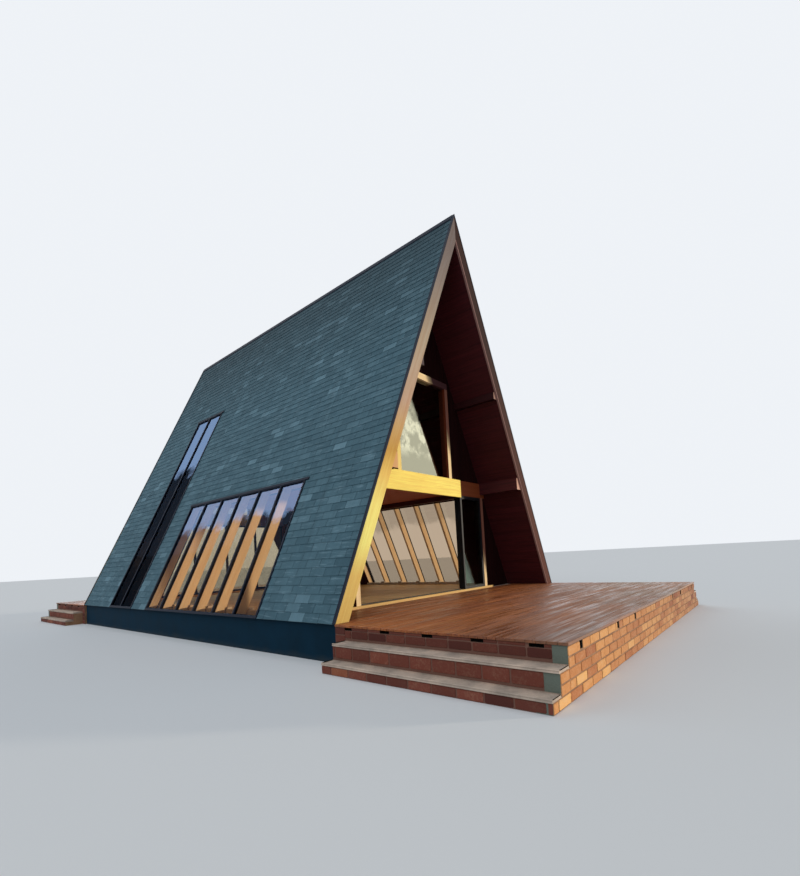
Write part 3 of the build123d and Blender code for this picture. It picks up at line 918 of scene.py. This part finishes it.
def hollow(pile, start, end, height, top, place):
    """Lining of a small opening under the deck boards, open to the outside; its dark colour is painted shade
    for the void behind.
    """
    low = top - height + hollow_edge
    high = top - 0.001 - hollow_edge
    left = start + hollow_edge
    right = end - hollow_edge
    outline = [(left, low), (right, low), (right, high), (left, high)]
    mouth, back = [[(across, z, out) for across, z in outline] for out in (-0.003, -hollow_depth)]
    pile.rings([mouth, back], 0.2, place, open_start=True)


def step_bricks(material):
    """Bricks on the risers and ends of the four flights."""
    draw = random.Random("step bricks")
    pile = Pile()
    base_low, base_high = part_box("step_bases")
    wall_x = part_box("front_deck_walls")[1].x
    upper_x = wall_x + upper_tread_reach - tread_nosing
    lower_x = base_high.x
    upper_top = base_high.z
    lower_tread = floor_z - lower_tread_drop
    lower_top = lower_tread - tread_thickness
    for way, face_y, roof_y in ((-1, base_low.y, roof_front), (1, base_high.y, roof_back)):
        start, end = sorted((face_y, roof_y + way * tread_stop))
        patch = tuple(sorted((face_y, face_y - way * bare_patch)))
        for side in (-1, 1):
            brick_row(pile, draw, start, end, lower_tread + 0.024, upper_top - 0.008, 0.17,
                      [patch], riser_shade_tones, on_side(side, upper_x))
            brick_row(pile, draw, start, end, 0.006, lower_top - 0.006, 0.05,
                      [], foot_shade_tones, on_side(side, lower_x))
            for z_low, z_high in courses(upper_top, step_courses):
                limit = upper_x
                if z_high < lower_top + 0.03:
                    limit = lower_x
                    z_high = min(z_high, lower_top - 0.004)
                brick_row(pile, draw, wall_x + 0.012, limit, z_low, z_high, 0.29,
                          [], flight_tones, on_end(face_y, way, side))
    pile.piece("step_brick_faces", material, "brick")


def worn_slab(pile, draw, low, high):
    """Concrete tread with rounded edges and an unevenly worn top."""
    profile = []
    for k in range(5):
        angle = math.pi / 2 * k / 4
        profile.append((tread_rounding * (1 - math.sin(angle)), tread_rounding * (1 - math.cos(angle))))
    outline = [(low.x + dx, high.z - dz) for dx, dz in profile]
    outline += [(high.x - dx, high.z - dz) for dx, dz in reversed(profile)]
    outline += [(high.x, low.z), (low.x, low.z)]
    rings = []
    for step in range(tread_lengths + 1):
        y = low.y + (high.y - low.y) * step / tread_lengths
        wear = draw.uniform(-tread_wear, 0.0) if 0 < step < tread_lengths else -tread_wear
        rings.append([(x, y, z + (wear if high.z - z < 0.004 else 0.0)) for x, z in outline])
    pile.rings(rings)


def treads(material):
    """The eight slabs of the side steps."""
    draw = random.Random("treads")
    pile = Pile()
    wall_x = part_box("front_deck_walls")[1].x
    low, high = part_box("step_treads")
    slabs = (
        (wall_x, wall_x + upper_tread_reach, floor_z - upper_tread_drop),
        (wall_x + upper_tread_reach - tread_nosing, wall_x + lower_tread_reach, floor_z - lower_tread_drop),
    )
    for side in (-1, 1):
        for y_low, y_high in ((low.y, roof_front - tread_stop), (roof_back + tread_stop, high.y)):
            for x_low, x_high, top in slabs:
                xs = sorted((side * x_low, side * x_high))
                worn_slab(pile, draw, Vector((xs[0], y_low, top - tread_thickness)),
                          Vector((xs[1], y_high, top)))
    pile.piece("step_slabs", material, "mortar", "step_treads")


def gable_boards(material):
    """Upright boards of both gables, beside and over their openings."""
    draw = random.Random("gable boards")
    pile = Pile()
    beam_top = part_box("gable_beams")[1].z
    lintel_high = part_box("upper_lintels")[1]
    lower_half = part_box("gable_posts")[1].x
    sill_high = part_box("gable_sills")[1]
    panel_low, panel_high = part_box("gable_lower_panels")
    upper_cuts = (-lintel_high.x, lintel_high.x, 0.0)
    lower_cuts = (-lower_half, lower_half, -sill_high.x, sill_high.x)
    reach = face_x(roof_depth, floor_z)

    def under_roof(x):
        return floor_z + (reach - abs(x)) * math.tan(slope)

    def under_beam(x):
        return min(under_roof(x), panel_high.z)

    for y_low in (panel_low.y, panel_high.y - gable_board_thickness):
        place = -reach
        while place < reach - 0.005:
            far = min(place + gable_pitch, reach)
            for left, right in lengths(place, far, upper_cuts, 0.002):
                bottom = lintel_high.z if abs(left + right) / 2 < lintel_high.x else beam_top
                board(pile, draw, left, right, y_low, bottom, under_roof)
            for left, right in lengths(place, far, lower_cuts, 0.002):
                middle = abs(left + right) / 2
                bottom = sill_high.z if middle < sill_high.x else floor_z
                if middle >= lower_half:
                    board(pile, draw, left, right, y_low, bottom, under_beam)
            place += gable_pitch
    pile.piece("gable_boards", material, "lining_wood", "gable_lower_panels", "gable_upper_panels")


def board(pile, draw, left, right, y_low, bottom, top_at):
    """Upright board of a gable with cut edges, whose head follows what is over it."""
    if max(top_at(left), top_at(right)) < bottom + 0.004:
        return
    cut = board_cut
    y_high = y_low + gable_board_thickness
    plan = [
        (left, y_low + cut), (left + cut, y_low), (right - cut, y_low), (right, y_low + cut),
        (right, y_high - cut), (right - cut, y_high), (left + cut, y_high), (left, y_high - cut),
    ]
    foot = [(x, y, bottom) for x, y in plan]
    head = [(x, y, max(bottom, top_at(x))) for x, y in plan]
    pile.rings([foot, head], draw.triangular(0.1, 0.9, 0.5))


def window_trim(metal):
    """Drip flashing over the head of each side window."""
    trim = Pile()
    for side in (-1, 1):
        for start, end, rise in windows:
            trim.box((start - flashing_front, rise - flashing_below, -flashing_height),
                     (end + flashing_back, rise + flashing_above, -0.001), flashing_cut, place=on_slope(side))
    trim.piece("window_head_flashings", metal, "navy_metal")


def soften(node):
    """Slightly rounded edges on a CAD node."""
    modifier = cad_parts[node].modifiers.new("soft_edges", "BEVEL")
    modifier.width = 0.004
    modifier.segments = 2
    modifier.limit_method = "ANGLE"
    modifier.angle_limit = math.radians(40)


def make_camera():
    turn = Matrix.Rotation(-camera_yaw, 4, "Z")
    tilt = Matrix.Rotation(math.pi / 2 + camera_pitch, 4, "X")
    roll = Matrix.Rotation(camera_roll, 4, "Z")
    camera = bpy.data.objects.new("camera", bpy.data.cameras.new("camera"))
    camera.matrix_world = Matrix.Translation(camera_place) @ turn @ tilt @ roll
    camera.data.lens = camera_lens
    camera.data.sensor_width = 36
    camera.data.shift_y = camera_shift
    camera.data.clip_end = 500
    bpy.context.scene.collection.objects.link(camera)
    bpy.context.scene.camera = camera


def sun(name, azimuth, elevation, strength, angle, colour):
    """Soft lamp from an azimuth, measured from the front towards the right."""
    lamp = bpy.data.lights.new(name, "SUN")
    lamp.energy = strength
    lamp.angle = math.radians(angle)
    lamp.color = colour
    a = math.radians(azimuth)
    e = math.radians(elevation)
    to_lamp = Vector((math.sin(a) * math.cos(e), -math.cos(a) * math.cos(e), math.sin(e)))
    thing = bpy.data.objects.new(name, lamp)
    thing.rotation_mode = "QUATERNION"
    thing.rotation_quaternion = to_lamp.to_track_quat("Z", "Y")
    bpy.context.scene.collection.objects.link(thing)


def background(tree, colour, strength):
    """One colour of the world."""
    node = tree.nodes.new("ShaderNodeBackground")
    node.inputs["Color"].default_value = colour
    node.inputs["Strength"].default_value = strength
    return node.outputs[0]


def make_world():
    """Pale background, and even light from all round."""
    world = bpy.data.worlds.new("studio")
    bpy.context.scene.world = world
    world.use_nodes = True
    tree = world.node_tree
    tree.nodes.clear()
    path = tree.nodes.new("ShaderNodeLightPath")
    seen = path.outputs["Is Camera Ray"]
    for ray in ("Is Glossy Ray", "Is Transmission Ray"):
        either = tree.nodes.new("ShaderNodeMath")
        either.operation = "MAXIMUM"
        tree.links.new(seen, either.inputs[0])
        tree.links.new(path.outputs[ray], either.inputs[1])
        seen = either.outputs[0]
    both = tree.nodes.new("ShaderNodeMixShader")
    output = tree.nodes.new("ShaderNodeOutputWorld")
    tree.links.new(seen, both.inputs[0])
    tree.links.new(background(tree, (0.86, 0.93, 1.0, 1), 0.36), both.inputs[1])
    tree.links.new(background(tree, (0.86, 0.89, 0.93, 1), 1.0), both.inputs[2])
    tree.links.new(both.outputs[0], output.inputs["Surface"])


def studio():
    """Pale floor, pale background and soft lamps, with the strongest one low from the front right."""
    make_world()
    sun("key", 42, 4.4, 2.8, 4, (1.0, 0.9, 0.74))
    sun("fill", -75, 45, 1.12, 50, (0.9, 0.95, 1.0))
    sun("back", 165, 35, 0.7, 60, (0.95, 0.97, 1.0))
    mesh = bpy.data.meshes.new("stage_floor")
    reach = 300
    corners = [(-reach, -reach, 0), (reach, -reach, 0), (reach, reach, 0), (-reach, reach, 0)]
    mesh.from_pydata(corners, [], [(0, 1, 2, 3)])
    look = Look("stage_floor", 0.9, 0.0)
    mesh.materials.append(look.done((0.72, 0.73, 0.74, 1)))
    stage_floor = bpy.data.objects.new("stage_floor", mesh)
    bpy.context.scene.collection.objects.link(stage_floor)
    bpy.context.scene.view_settings.view_transform = "Standard"


def finishes():
    """Every material, by a short name."""
    golden = (rgb(252, 231, 107), rgb(238, 200, 85))
    honey = (rgb(240, 236, 136), rgb(228, 210, 114))
    peach = (rgb(240, 212, 160), rgb(220, 184, 134))
    maroon = (rgb(76, 24, 28), rgb(54, 15, 19))
    dark_maroon = (rgb(36, 12, 12), rgb(22, 7, 7))
    # Mirror colours of the glass are painted reflection colours: blue on the side windows, yellowish on the
    # upper gable window, grey-green on the doors.
    painted_sky_tint = (0.28, 0.42, 0.68, 1)
    planed = {"roughness": 0.6, "gloss": 0.25, "knots": 0.5}
    return {
        "shingle": shingle_finish(),
        "underlay": plain_finish("shingle_underlay", rgb(40, 60, 68), 0.9),
        "brick": brick_finish(),
        "mortar": mortar_finish("wall_mortar", rgb(166, 128, 98), rgb(128, 96, 72), side_mortar_painted_shade),
        "concrete": mortar_finish("step_concrete", rgb(204, 182, 164), rgb(156, 142, 130)),
        "plinth": plinth_finish(),
        "navy": metal_finish("navy_metal", rgb(13, 22, 38), 0.6),
        "door": metal_finish("black_door_metal", rgb(18, 19, 22), 0.42),
        "kerb": paint_finish("pale_kerb_paint", rgb(204, 192, 176), 0.55),
        "hollow": plain_finish("painted_shade_hollow", rgb(22, 16, 14), 0.95),
        "sill": wood("orange_wood_across", "x", rgb(212, 176, 104), rgb(198, 152, 84), **planed),
        "lintel": wood("peach_wood_lintel", "x", *peach, **planed, stain_and_painted_light=lintel_painted_shadow),
        "beam": wood("golden_wood_fascia", "x", *golden, **planed, stain_and_painted_light=beam_end_painted_shade),
        "post": wood("peach_wood_upright", "z", *peach, **planed, stain_and_painted_light=post_painted_light_and_shade),
        "barge": wood("honey_wood_sloping", "slope", *honey, 0.7, 0.1, knots=0.6, stain_and_painted_light=barge_painted_light),
        "rafter": wood("rafter_wood_sloping", "slope", rgb(252, 234, 200), rgb(240, 212, 170), 0.6, 0.25,
                       knots=0.6),
        "lining": wood("maroon_boards_along", "y", *maroon, 0.6, 0.2, boards=True),
        "gable": wood("maroon_boards_upright", "z", *dark_maroon, 0.85, 0.04, boards=True),
        "loft": wood("maroon_loft", "y", rgb(208, 116, 94), rgb(172, 88, 72), 0.6, 0.2),
        "purlin": wood("maroon_wood_along", "y", *maroon, 0.55, 0.25, stain_and_painted_light=end_grain_and_painted_light),
        "sheathing": wood("sheathing_wood", "y", rgb(176, 132, 84), rgb(132, 92, 56), 0.7),
        "deck": wood("deck_boards", "x", rgb(184, 108, 54), rgb(120, 60, 30), 0.46, 0.34, boards=True,
                     stain_and_painted_light=deck_colour_shifts, worn=0.2),
        "floor": wood("floor_boards", "y", rgb(246, 210, 146), rgb(214, 172, 112), 0.5, 0.3, boards=True),
        "joist": wood("joist_wood", "y", rgb(122, 84, 56), rgb(84, 54, 36), 0.7),
        # The large panes' warm, dim tint is partly painted shade: it darkens what shows through them.
        "window_glass": glass_finish("clear_window_glass", (0.76, 0.66, 0.55, 1), painted_sky_tint, 0.02, 0.6,
                                     lambda look: painted_reflection_above(look, 2.26, 2.42, 0.3)),
        # The narrow panes' dark tint is painted shade.
        "narrow_glass": glass_finish("dark_window_glass", (0.2, 0.2, 0.2, 1), painted_sky_tint, 0.002, 0.25,
                                     lambda look: painted_reflection_above(look, 3.93, 4.13, 0.35)),
        "gable_glass": glass_finish("upper_gable_window_glass", (0.8, 0.84, 0.84, 1), (0.96, 0.9, 0.62, 1),
                                    0.06, 0.6, painted_reflection_low_left),
        "door_glass": glass_finish("clear_door_glass", (0.9, 0.95, 0.92, 1), (0.72, 0.8, 0.62, 1),
                                   0.06, 0.6, painted_reflection_at_foot),
    }


make_camera()
studio()
looks = finishes()

shingles(-1, "shingle_courses_left", "shingles_left", looks["shingle"], looks["underlay"])
shingles(1, "shingle_courses_right", "shingles_right", looks["shingle"], looks["underlay"])
lining(-1, "lining_boards_left", "lining_left", looks["lining"])
lining(1, "lining_boards_right", "lining_right", looks["lining"])
deck("front_deck_strips", "front_deck_boards", roof_front, looks["deck"])
deck("rear_deck_strips", "rear_deck_boards", roof_back, looks["deck"])
floor(looks["floor"])
deck_bricks("front_deck_bricks", "front_deck_walls", -1, looks["brick"], looks["hollow"])
deck_bricks("rear_deck_bricks", "rear_deck_walls", 1, looks["brick"], looks["hollow"])
step_bricks(looks["brick"])
treads(looks["concrete"])
gable_boards(looks["gable"])
window_trim(looks["navy"])

dresses = {
    "plinth": ["plinth_walls"],
    "mortar": ["front_deck_walls", "rear_deck_walls", "step_bases"],
    "concrete": ["gable_foundations", "ground_slab"],
    "joist": ["deck_joists"],
    "sheathing": ["roof_deck_left", "roof_deck_right"],
    "rafter": ["rafters_left", "rafters_right", "window_headers", "ridge_beam"],
    "kerb": ["window_kerbs"],
    "navy": ["large_window_frames", "narrow_window_frames", "ridge_cap", "rake_flashings"],
    "window_glass": ["large_window_glass"],
    "narrow_glass": ["narrow_window_glass"],
    "gable_glass": ["upper_gable_glass"],
    "barge": ["barge_boards"],
    "purlin": ["loft_edge_beams", "upper_purlins"],
    "loft": ["loft_floor"],
    "sill": ["gable_sills"],
    "lintel": ["upper_lintels"],
    "beam": ["gable_beams"],
    "post": ["gable_posts"],
    "door": ["rear_glazing_frame", "door_head", "door_tracks", "fixed_leaf_frame"],
    "door_glass": ["rear_glazing_glass", "fixed_leaf_glass"],
}
for leaf in range(1, 5):
    dresses["door"].append(f"sliding_leaf_{leaf}_frame")
    dresses["door_glass"].append(f"sliding_leaf_{leaf}_glass")
for look, nodes in dresses.items():
    for node in nodes:
        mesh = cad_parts[node].data
        mesh.materials.clear()
        mesh.materials.append(looks[look])
for timber in ("gable_sills", "gable_beams", "gable_posts", "upper_lintels", "barge_boards", "window_kerbs",
               "rafters_left", "rafters_right", "loft_edge_beams", "upper_purlins"):
    soften(timber)
